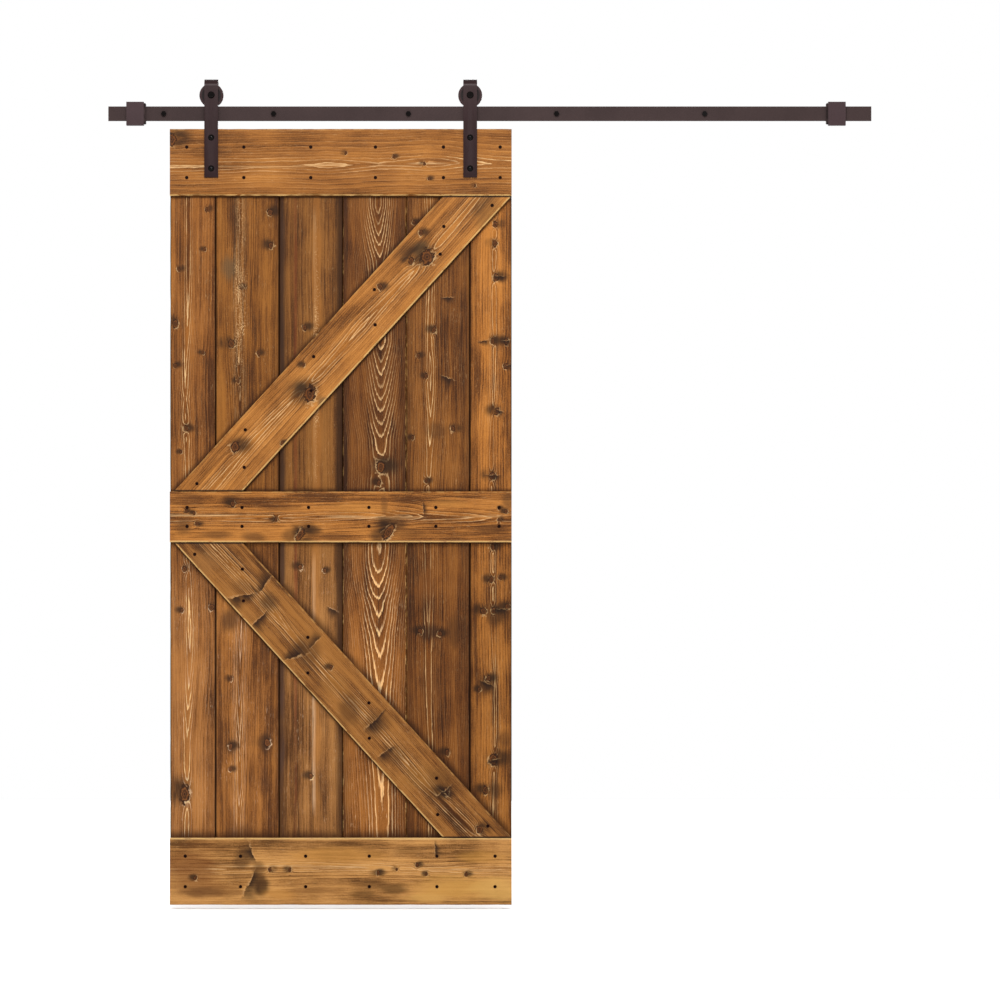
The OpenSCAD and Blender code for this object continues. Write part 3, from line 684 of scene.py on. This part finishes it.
rails = {
    "top_rail": {
        "mid": (158, 105, 57), "seed": 7.0, "contrast": 0.8, "ring": 7.5, "depth": 4, "centre": 98,
        "squeeze": 1.2, "archReach": (11, 28), "edges": (soft, wornAndLitEdge), "lines": 1.0, "wane": (0, 740, 5),
        "streaks": [(99, 3.5, 360, 500, 0.6), (95, 3.5, 640, 780, 0.6), (104, 3, 0, 400, 0.35)],
        "tips": [(120, 1), (370, -1), (495, 1), (655, -1), (750, 1), (806, 1), (891, 1)],
        "knots": [
            (484, 66, 3.4), (616, 77, 3.4), (700, 96, 3.4), (712, 137.5, 3.4), (839, 154, 3.4), (4, 28, 12)],
    },
    "middle_rail": {
        "mid": (164, 108, 57), "seed": 8.0, "contrast": 1.45, "ring": 7.5, "depth": 4, "centre": 72,
        "squeeze": 1.7, "lines": 0.75, "archReach": (10, 32), "edges": (soft, wornAndLitEdge),
        "streaks": [
            (71, 5, 400, 720, 0.34), (69, 4, 800, 940, 0.34), (66, 4, -50, 200, 0.4),
            (138, 4, -100, 1100, 0.45)],
        "tips": [(300, -1), (520, 1), (600, 1), (666, 1), (696, 1), (836, 1), (891, 1)],
        "knots": [
            (173, 1031, 5.5), (44, 1051, 3.4), (66, 1056, 3.4), (74, 1086, 4.2), (294, 1075, 4.2),
            (357.5, 1116, 9, 2.0, -22), (602, 1108, 10, 2.3, -28), (905, 1044, 3.4), (925, 1052, 4.2),
            (905, 1075, 3.4)],
        "spikes": [(588, 1095, 6, 4.0, 145), (348, 1108, 6, 4.0, 150), (699, 1044, 3, 8.0, 8)],
        "patches": [
            (335, 1120, 30, 25, 0.6, (84, 58, 38)), (572, 1120, 30, 20, 0.6, (84, 58, 38)),
            (930, 1020, 20, 40, 0.5, (84, 60, 42)), (130, 1118, 60, 15, 0.6, (92, 58, 34)),
            (230, 1122, 40, 18, 0.6, (84, 54, 34)), (590, 1030, 12, 30, 0.5, (96, 62, 38)),
            (450, 1122, 50, 12, 0.5, (92, 60, 38)), (50, 1020, 50, 25, 0.5, (98, 62, 38)),
            (660, 1110, 60, 20, 0.45, (100, 66, 38)), (500, 1040, 100, 20, 0.35, (206, 150, 88)),
            (390, 1100, 35, 20, 0.75, (66, 44, 28)), (630, 1085, 30, 20, 0.7, (70, 46, 30)),
            (170, 1020, 35, 16, 0.6, (78, 50, 30)), (880, 1100, 60, 16, 0.6, (84, 54, 32)),
            (300, 1040, 70, 14, 0.45, (92, 58, 34)), (760, 1030, 70, 14, 0.4, (202, 148, 88)),
            (40, 1090, 30, 30, 0.6, (74, 48, 30))],
    },
    "bottom_rail": {
        "mid": (184, 136, 91), "seed": 9.0, "contrast": 1.2, "ring": 6.5, "depth": 4, "centre": 85,
        "squeeze": 1.6, "lines": 0.7, "archReach": (12, 34), "edges": (wornAndLitEdge, soft),
        "streaks": [(78, 3, 120, 560, 0.5), (88, 3, 660, 950, 0.4), (2, 4, -100, 1100, 0.6)],
        "tips": [(350, 1), (550, 1), (750, -1), (850, -1)],
        "knots": [
            (69, 2060, 4.2), (275, 2038, 4.2), (330, 2038, 4.2), (572, 2046, 4.2), (624, 2038, 3.4),
            (679, 2025, 4.2), (707, 2050, 3.4), (814, 2050, 4.2)],
        "spikes": [(221, 1991, 9, 4.5, 210), (223, 2077, 9, 6.5, -22), (731.5, 1980, 4, 7.0, 8)],
        "patches": [
            (252, 2085, 24, 35, 0.85, (70, 48, 28)), (780, 2085, 150, 45, 0.75, (224, 178, 112)),
            (620, 2090, 50, 20, 0.7, (96, 68, 36)), (530, 2105, 50, 14, 0.6, (104, 74, 40)),
            (450, 2000, 160, 30, 0.6, (220, 166, 102)), (60, 2050, 100, 100, 0.6, (132, 82, 46)),
            (570, 2045, 30, 12, 0.7, (80, 54, 30)), (400, 2095, 100, 18, 0.55, (128, 84, 44)),
            (660, 1985, 50, 12, 0.45, (120, 84, 46)), (860, 2000, 90, 20, 0.5, (214, 164, 98)),
            (300, 2105, 60, 18, 0.5, (206, 152, 88)), (160, 2100, 50, 20, 0.45, (120, 78, 44)),
            (245, 2055, 22, 50, 0.6, (92, 62, 36)), (200, 2010, 30, 30, 0.65, (84, 56, 32)),
            (900, 2090, 80, 40, 0.7, (236, 196, 136)), (700, 2115, 80, 14, 0.6, (232, 190, 130)),
            (80, 2100, 70, 20, 0.55, (96, 62, 36)), (560, 2075, 50, 20, 0.5, (100, 70, 40))],
    },
}
braces = {
    "upper_brace": {
        "mid": (176, 119, 66), "seed": 10.0, "contrast": 0.9, "ring": 7.5, "depth": 4, "centre": 75,
        "rise": 1, "edges": (soft, wornAndLitEdge), "lines": 0.85,
        "tips": [(250, 1), (450, 1), (620, -1), (750, 1), (950, 1)],
        "knots": [
            (707, 352, 17, 1.1), (690, 286, 5.5), (663, 363, 6.6), (577.5, 434.5, 5.5), (385, 729, 14, 1.5),
            (179, 875, 10), (368.5, 649, 4.2), (308, 866, 4.2)],
        "patches": [
            (690, 330, 30, 30, 0.7, (104, 86, 68)), (360, 710, 20, 20, 0.7, (96, 80, 66)),
            (420, 750, 20, 20, 0.7, (96, 80, 66)), (870, 220, 50, 90, 0.5, (96, 72, 48))],
    },
    "lower_brace": {
        "mid": (139, 92, 49), "seed": 11.0, "contrast": 1.5, "ring": 6.5, "depth": 4, "centre": 70,
        "rise": -1, "edges": (soft, wornAndLitEdge), "lines": 0.85,
        "tips": [(200, 1), (260, 1), (500, -1), (800, 1), (900, 1)],
        "knots": [(443, 1480, 4.2), (852.5, 1928, 7.8), (759, 1823, 7.8)],
        "spikes": [
            (198, 1290, 9, 6.0, -75), (258, 1250, 8, 5.5, 150), (231, 1268, 2, 12.0, 40),
            (247.5, 1350, 7, 6.0, -40), (345, 1445, 10, 5.0, 113), (397, 1410, 6, 6.0, 140),
            (561, 1639, 9, 4.5, -40), (580, 1612, 2.5, 12.0, -40), (597, 1716, 6, 6.0, -50),
            (759, 1823, 6, 6.0, 55), (759, 1823, 6, 6.0, -45)],
        "patches": [
            (495, 1598, 45, 55, 0.7, (104, 70, 38)), (270, 1300, 35, 35, 0.75, (84, 60, 40)),
            (200, 1260, 50, 30, 0.4, (110, 76, 46)), (375, 1440, 50, 50, 0.6, (92, 62, 36)),
            (570, 1630, 50, 40, 0.6, (98, 66, 38)), (620, 1720, 40, 40, 0.45, (104, 72, 42)),
            (740, 1800, 50, 50, 0.5, (98, 68, 38)), (100, 1190, 50, 50, 0.5, (170, 124, 84)),
            (450, 1530, 50, 40, 0.4, (176, 128, 76)), (680, 1780, 50, 50, 0.4, (176, 130, 78))],
    },
}


def toMetres():
    # how many lengths come first in a row of each list
    lengths = {"tips": 1, "knots": 3, "spikes": 3, "patches": 4, "streaks": 4}
    for piece in [*boards.values(), *rails.values(), *braces.values()]:
        for key, count in lengths.items():
            rows = piece.get(key, [])
            piece[key] = [(*(v / 1000 for v in row[:count]), *row[count:]) for row in rows]
        for key in {"ring", "centre", "archReach", "pitted", "wane"} & piece.keys():
            value = piece[key]
            piece[key] = tuple(v / 1000 for v in value) if isinstance(value, tuple) else value / 1000


toMetres()
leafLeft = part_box("board_1")[0].x
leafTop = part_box("board_1")[1].z


def boardSection(width, thick, hasTongue, hasGroove):
    v = jointShape["v"]
    half = thick / 2
    outline = [(v, 0.0), (width - v, 0.0), (width, v)]
    if hasTongue:
        t = jointShape["tongueT"] / 2
        reach = width + jointShape["tongue"]
        outline += [(width, half - t), (reach, half - t), (reach, half + t), (width, half + t)]
    outline += [(width, thick), (0.0, thick)]
    if hasGroove:
        t = jointShape["grooveT"] / 2
        reach = jointShape["grooveL"]
        outline += [(0.0, half + t), (reach, half + t), (reach, half - t), (0.0, half - t)]
    return outline + [(0.0, v)]


def easedSection(width, thick):
    r = sweep["railEase"]
    turn = [math.radians(a) for a in (0, 22.5, 45, 67.5, 90)]
    right = [(width - r + r * math.sin(a), r - r * math.cos(a)) for a in turn]
    left = [(r - r * math.cos(a), r - r * math.sin(a)) for a in turn]
    return right + [(width, thick), (0.0, thick)] + left


def fineOutline(outline):
    points = []
    for i, a in enumerate(outline):
        b = outline[(i + 1) % len(outline)]
        front = a[1] < sweep["front"] and b[1] < sweep["front"]
        count = max(1, round(math.dist(a, b) / sweep["fineStep" if front else "backStep"]))
        for k in range(count):
            points.append((a[0] + (b[0] - a[0]) * k / count, a[1] + (b[1] - a[1]) * k / count))
    return np.array(points)


def pithLine(piece, along):
    # ring numbers at the tips of the grain's arches, so that each tip falls on a ring
    n = piece["depth"]
    places, numbers = [-0.4], [n - 0.5 * piece["tips"][0][1]]
    last = None
    for place, way in piece["tips"]:
        if last is None or way == last[1]:
            n = n if last is None else n + way
        else:
            places.append((place + last[0]) / 2)
            numbers.append(n + 0.5 * last[1])
        places.append(place)
        numbers.append(n)
        last = (place, way)
    places.append(last[0] + 0.6)
    numbers.append(n + 0.8 * last[1])
    return np.interp(along, places, numbers)


def wornEdges(piece, z, length):
    # how deep each of the two long edges is worn, all along the piece
    rng = np.random.default_rng(int(piece["seed"] * 101))
    wears = []
    for _ in range(2):
        wear = np.zeros(len(z))
        for _ in range(int(length * edgeWear["each"])):
            at = rng.uniform(z[0], z[-1])
            reach, size = rng.uniform(*edgeWear["reach"]), rng.uniform(*edgeWear["size"])
            wear += size * np.exp(-((z - at) / reach) ** 2)
        wears.append(np.minimum(wear, edgeWear["most"]))
    if "wane" in piece:
        first, last, size = piece["wane"]
        inside = np.clip((z - first) / 0.03, 0, 1) * np.clip((last - z) / 0.06, 0, 1)
        wave = sum(np.sin(z * k + rng.uniform(0, 6)) for k in (19, 43, 97, 170)) / 4
        wears[1] = wears[1] + inside * size * np.clip(0.5 + wave, 0.05, 1.2)
    return wears


def sweptMember(node, piece, outline, starts, ends, frameOf):
    width, thick, corner, acrossDir, alongDir = frameOf
    section = fineOutline(outline)
    across, depth = section[:, 0], section[:, 1]
    begin, finishAt = starts(across), ends(across)
    length = float(np.max(finishAt) - np.min(begin))
    count = max(8, round(length / sweep["row"]))
    endStep, ease = sweep["endStep"] / length, sweep["endEase"]
    steps = np.concatenate([[0.0, endStep], np.linspace(0, 1, count + 1)[1:-1], [1 - endStep, 1.0]])
    along = begin[None, :] + steps[:, None] * (finishAt - begin)[None, :]
    u = np.repeat(across[None, :], len(steps), 0)
    y = np.repeat(depth[None, :], len(steps), 0)
    for row in (0, -1):  # ends eased a little
        u[row] = np.where(u[row] > width, u[row], np.clip(u[row], ease, width - ease))
        y[row] = np.clip(y[row], ease, thick - ease)
    # edges knocked and worn unevenly
    lowWear, highWear = wornEdges(piece, along.mean(1), length)
    nearFront = np.clip(1 - y / edgeWear["deep"], 0, 1)
    nearLow = np.clip(1 - u / edgeWear["wide"], 0, 1) ** 2 * nearFront * lowWear[:, None]
    nearHigh = np.clip(1 - (width - u) / edgeWear["wide"], 0, 1) ** 2 * nearFront
    nearHigh = np.where(u > width, 0, nearHigh) * highWear[:, None]
    y = y + nearLow + nearHigh
    u = u + nearLow * edgeWear["slant"] - nearHigh * edgeWear["slant"]

    co = (np.array(corner) + u[..., None] * np.array(acrossDir) + along[..., None] * np.array(alongDir)
          + y[..., None] * np.array((0, 1, 0)))
    rows, cols = u.shape
    index = np.arange(rows * cols).reshape(rows, cols)
    nextOver = np.roll(index, -1, axis=1)
    quads = np.stack([index[:-1], nextOver[:-1], nextOver[1:], index[1:]], -1).reshape(-1, 4)
    name = node + "_pine"
    mesh = bpy.data.meshes.new(name)
    caps = [index[0][::-1].tolist(), index[-1].tolist()]
    mesh.from_pydata(co.reshape(-1, 3).tolist(), [], quads.tolist() + caps)
    shape = bmesh.new()
    shape.from_mesh(mesh)
    bmesh.ops.recalc_face_normals(shape, faces=shape.faces)
    shape.to_mesh(mesh)
    shape.free()
    made = newObject(name, mesh)
    if node + "_screws" in nodes:
        mesh = countersink(made, node + "_screws")
    storeGrain(mesh, piece, corner, acrossDir, alongDir)
    mesh.shade_smooth()
    mesh.set_sharp_from_angle(angle=math.radians(sweep["sharp"]))

    def toPiece(x, down, turn):
        place = Vector((leafLeft + x, corner[1], leafTop - down)) - Vector(corner)
        way = Vector((math.sin(math.radians(turn)), 0, -math.cos(math.radians(turn))))
        return place.dot(acrossDir), place.dot(alongDir), math.atan2(way.dot(acrossDir), way.dot(alongDir))

    mesh.materials.append(pineFinish(name, piece, toPiece, width))
    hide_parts(node)
    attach(made, "door")


def storeGrain(mesh, piece, corner, acrossDir, alongDir):
    # each point's place on its piece, and its place from the pith, for the finish to read
    co = np.zeros(len(mesh.vertices) * 3, np.float32)
    mesh.vertices.foreach_get("co", co)
    fromCorner = co.reshape(-1, 3) - np.array(corner)
    u, y, along = fromCorner @ np.array(acrossDir), fromCorner[:, 1], fromCorner @ np.array(alongDir)
    middle = piece["centre"] - piece.get("acrossZero", 0.0)
    wander = 0.004 * np.sin(along * 5.0 + piece["seed"]) + 0.002 * np.sin(along * 13.0 + piece["seed"] * 2)
    rings = pithLine(piece, along)
    boardPoint = np.stack([u, y, along], -1)
    grainPoint = np.stack([u - middle - wander, y + rings * piece["ring"], along], -1)
    for title, values in (("boardPoint", boardPoint), ("grainPoint", grainPoint)):
        layer = mesh.attributes.new(title, "FLOAT_VECTOR", "POINT")
        layer.data.foreach_set("vector", values.astype(np.float32).ravel())


def makeBoards():
    last = len(boards)
    for i, (node, piece) in enumerate(boards.items(), 1):
        low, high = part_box(node)
        width = high.x - low.x - (jointShape["tongue"] if i < last else 0)
        thick, length = high.y - low.y, high.z - low.z
        piece["acrossZero"] = low.x - leafLeft
        piece["edgeReach"] = edgeWear["boardReach"]
        frameOf = (width, thick, (low.x, low.y, high.z), (1, 0, 0), (0, 0, -1))
        sweptMember(node, piece, boardSection(width, thick, i < last, i > 1),
                    lambda a: a * 0, lambda a: a * 0 + length, frameOf)
    print("boards made:", last)


def makeRails():
    for node, piece in rails.items():
        low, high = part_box(node)
        width, thick, length = high.z - low.z, high.y - low.y, high.x - low.x
        piece["edgeReach"] = edgeWear["railReach"]
        frameOf = (width, thick, (low.x, low.y, high.z), (0, 0, -1), (1, 0, 0))
        sweptMember(node, piece, easedSection(width, thick),
                    lambda a: a * 0, lambda a: a * 0 + length, frameOf)
    print("rails made:", len(rails))


def makeBraces():
    for node, piece in braces.items():
        low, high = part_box(node)
        slope, flat, rise = braceSlope(node)
        tall = high.z - low.z
        width = flat * math.sin(slope)
        alongDir = (math.cos(slope), 0, rise * math.sin(slope))
        acrossDir = (rise * math.sin(slope), 0, -math.cos(slope))
        # on the falling brace, across runs down from the upper edge, from the inner end of the cut
        corner = (low.x, low.y, low.z) if rise > 0 else (low.x + flat, low.y, high.z)
        begin = lambda a: rise * a / math.tan(slope)
        end = lambda a: begin(a) + tall / math.sin(slope)
        piece["edgeReach"] = edgeWear["railReach"]
        frameOf = (width, high.y - low.y, corner, acrossDir, alongDir)
        sweptMember(node, piece, easedSection(width, high.y - low.y), begin, end, frameOf)
    print("braces made:", len(braces))


woodScrew = {
    "head": 0.0084,
    "headT": 0.0022,
    "shank": 0.004,
    "length": 0.029,
    "cross": 0.005,
    "crossW": 0.0013,
    "crossT": 0.0015,
    "fit": 0.0007,  # round the head in its countersink
    "headSides": 28,
    "shankSides": 12,
    "seed": 12,
}
sinkHole = {"deep": 0.008, "down": 0.001}  # the cutter's length, and its middle in front of the head's plane


def looseParts(node):
    shape = bmesh.new()
    shape.from_mesh(nodes[node].data)
    bmesh.ops.remove_doubles(shape, verts=shape.verts, dist=weldGap)
    left = set(shape.verts)
    parts = []
    while left:
        queue = [left.pop()]
        found = []
        while queue:
            vertex = queue.pop()
            found.append(vertex.co.copy())
            for edge in vertex.link_edges:
                other = edge.other_vert(vertex)
                if other in left:
                    left.discard(other)
                    queue.append(other)
        parts.append(np.array(found))
    shape.free()
    return parts


def screwPlaces(node):
    # the middle of each screw's head, on the plane of the heads
    places = []
    for part in looseParts(node):
        low, high = part.min(0), part.max(0)
        places.append(((low[0] + high[0]) / 2, low[1], (low[2] + high[2]) / 2))
    return sorted(places)


def plain(thing, *modifiers):
    # the evaluated shape becomes the object's own mesh
    graph = bpy.context.evaluated_depsgraph_get()
    mesh = bpy.data.meshes.new_from_object(thing.evaluated_get(graph), depsgraph=graph)
    for modifier in modifiers:
        thing.modifiers.remove(modifier)
    old = thing.data
    thing.data = mesh
    bpy.data.meshes.remove(old)
    mesh.name = thing.name
    return mesh


def countersink(wood, node):
    holes = bmesh.new()
    radius = woodScrew["head"] / 2 + woodScrew["fit"]
    for x, y, z in screwPlaces(node):
        made = bmesh.ops.create_cone(holes, cap_ends=True, segments=woodScrew["headSides"], radius1=radius,
                                     radius2=radius, depth=sinkHole["deep"])
        turn = Matrix.Translation((x, y - sinkHole["down"], z)) @ Matrix.Rotation(math.pi / 2, 4, "X")
        bmesh.ops.transform(holes, matrix=turn, verts=made["verts"])
    mesh = bpy.data.meshes.new("countersinks")
    holes.to_mesh(mesh)
    holes.free()
    cutter = newObject("countersinks", mesh)
    drill = wood.modifiers.new("drill", "BOOLEAN")
    drill.operation = "DIFFERENCE"
    drill.solver = "EXACT"
    drill.object = cutter
    finished = plain(wood, drill)
    bpy.data.objects.remove(cutter)
    bpy.data.meshes.remove(mesh)
    return finished


def combine(operation, first, others):
    whole = add("GeometryNodeMeshBoolean", operation=operation, solver="EXACT")["Mesh"]
    if operation == "DIFFERENCE":
        canvas["tree"].links.new(first, whole.node.inputs["Mesh 1"])
    else:
        others = [first] + others
    for other in others:
        canvas["tree"].links.new(other, whole.node.inputs["Mesh 2"])
    return whole


def screwTree(name):
    tree = bpy.data.node_groups.new(name, "GeometryNodeTree")
    canvas["tree"] = tree
    face = tree.interface
    face.new_socket("Points", in_out="INPUT", socket_type="NodeSocketGeometry")
    for title, key in (("Head width", "head"), ("Head depth", "headT"), ("Shank width", "shank"),
                       ("Length", "length"), ("Cross length", "cross"), ("Cross width", "crossW"),
                       ("Cross depth", "crossT")):
        face.new_socket(title, in_out="INPUT", socket_type="NodeSocketFloat").default_value = woodScrew[key]
    seed = face.new_socket("Seed", in_out="INPUT", socket_type="NodeSocketInt")
    seed.default_value = woodScrew["seed"]
    coat = face.new_socket("Coat", in_out="INPUT", socket_type="NodeSocketMaterial")
    face.new_socket("Screws", in_out="OUTPUT", socket_type="NodeSocketGeometry")
    given = add("NodeGroupInput")
    headRadius, shankRadius = times(given["Head width"], 0.5), times(given["Shank width"], 0.5)
    head = add("GeometryNodeMeshCone", {
        "Vertices": woodScrew["headSides"], "Radius Top": shankRadius, "Radius Bottom": headRadius,
        "Depth": given["Head depth"]})["Mesh"]
    # the shank starts inside the head, below the cross
    begin = calc("ADD", times(given["Head depth"], 0.5), times(given["Cross depth"], 0.5))
    shank = add("GeometryNodeMeshCylinder", {
        "Vertices": woodScrew["shankSides"], "Radius": shankRadius,
        "Depth": calc("SUBTRACT", given["Length"], begin)})["Mesh"]
    down = add("ShaderNodeCombineXYZ", {"Z": times(calc("ADD", given["Length"], begin), 0.5)})[0]
    shank = add("GeometryNodeTransform", {"Geometry": shank, "Translation": down})[0]
    arms = []
    for x, y in (("Cross length", "Cross width"), ("Cross width", "Cross length")):
        deep = times(given["Cross depth"], 2.0)
        size = add("ShaderNodeCombineXYZ", {"X": given[x], "Y": given[y], "Z": deep})[0]
        arms.append(add("GeometryNodeMeshCube", {"Size": size})["Mesh"])
    whole = combine("UNION", combine("DIFFERENCE", head, arms), [shank])
    # heads face the room: turn +Z to +Y, then each screw by its own angle
    tilted = add("GeometryNodeTransform", {"Geometry": whole, "Rotation": (-math.pi / 2, 0, 0)})[0]
    turn = add("FunctionNodeRandomValue", data_type="FLOAT_VECTOR", links={
        "Min": (0, 0, 0), "Max": (0, 6.283, 0), "Seed": given["Seed"]})[0]
    placed = add("GeometryNodeInstanceOnPoints", {
        "Points": add("GeometryNodeMeshToPoints", {"Mesh": given["Points"]})[0],
        "Instance": tilted, "Rotation": turn})[0]
    solid = add("GeometryNodeRealizeInstances", {"Geometry": placed})[0]
    coated = add("GeometryNodeSetMaterial", {"Geometry": solid, "Material": given["Coat"]})[0]
    add("NodeGroupOutput", {0: coated})
    return tree, seed, coat


def growScrews(nodeName, material):
    places = screwPlaces(nodeName)
    name = nodeName + "_set"
    mesh = bpy.data.meshes.new(name)
    mesh.from_pydata(places, [], [])
    points = newObject(name, mesh)
    tree, seed, coat = screwTree(name)
    modifier = points.modifiers.new("screws", "NODES")
    modifier.node_group = tree
    modifier[coat.identifier] = material
    modifier[seed.identifier] = woodScrew["seed"] + len(places)
    plain(points, modifier)
    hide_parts(nodeName)
    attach(points, "door")


easedSteel = {
    # node: (edge, coat, slot, body)
    "track_bar": (0.0006, "trackCoat", "track_steel", "track"),
    "stop_block_left": (0.0014, "stopCoat", "track_steel", "track"),
    "stop_block_right": (0.0014, "stopCoat", "track_steel", "track"),
    "hanger_strap_left": (0.0005, "strapCoat", "strap_steel", "door"),
    "hanger_strap_right": (0.0005, "strapCoat", "strap_steel", "door"),
}
easing = {"flat": 0.5, "segments": 2, "edges": 40, "sharp": 20}  # angles in degrees


def easedCopy(node, edge, coat, body):
    mesh = nodes[node].data.copy()
    shape = bmesh.new()
    shape.from_mesh(mesh)
    bmesh.ops.remove_doubles(shape, verts=shape.verts, dist=weldGap)
    bmesh.ops.dissolve_limit(shape, angle_limit=math.radians(easing["flat"]), verts=shape.verts,
                             edges=shape.edges)
    shape.to_mesh(mesh)
    shape.free()
    if "custom_normal" in mesh.attributes:
        mesh.attributes.remove(mesh.attributes["custom_normal"])
    made = newObject(node + "_eased", mesh)
    bevel = made.modifiers.new("easedEdges", "BEVEL")
    bevel.width = edge
    bevel.segments = easing["segments"]
    bevel.limit_method = "ANGLE"
    bevel.angle_limit = math.radians(easing["edges"])
    mesh = plain(made, bevel)
    mesh.shade_smooth()
    mesh.set_sharp_from_angle(angle=math.radians(easing["sharp"]))
    mesh.materials.clear()
    mesh.materials.append(coat)
    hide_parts(node)
    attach(made, body)


def makeSteel(coats):
    for node, (edge, coat, slot, body) in easedSteel.items():
        easedCopy(node, edge, coats[coat], body)
    dressed = (("stop_bumper", bumperRubber()), ("bearing", bareSteel()), ("wheel", coats["wheelCoat"]),
               ("wall_spacer", coats["trackCoat"]), ("wall_screw_washers", coats["trackCoat"]),
               ("", coats["blackBolt"]))
    for node in nodes:
        if node in easedSteel or "board" in node or "rail" in node or "brace" in node:
            continue
        coat = next(coat for start, coat in dressed if node.startswith(start))
        for slot in nodes[node].material_slots:
            slot.material = coat
    print("steel made")


def makeScrews(coat):
    for node in [*rails, *braces]:
        growScrews(node + "_screws", coat)
    print("screws made")


makeCamera()
makeStudio()
makeBoards()
makeRails()
makeBraces()
coats = {name: coatedSteel(name) for name in steelLooks}
makeSteel(coats)
makeScrews(coats["screwBlack"])
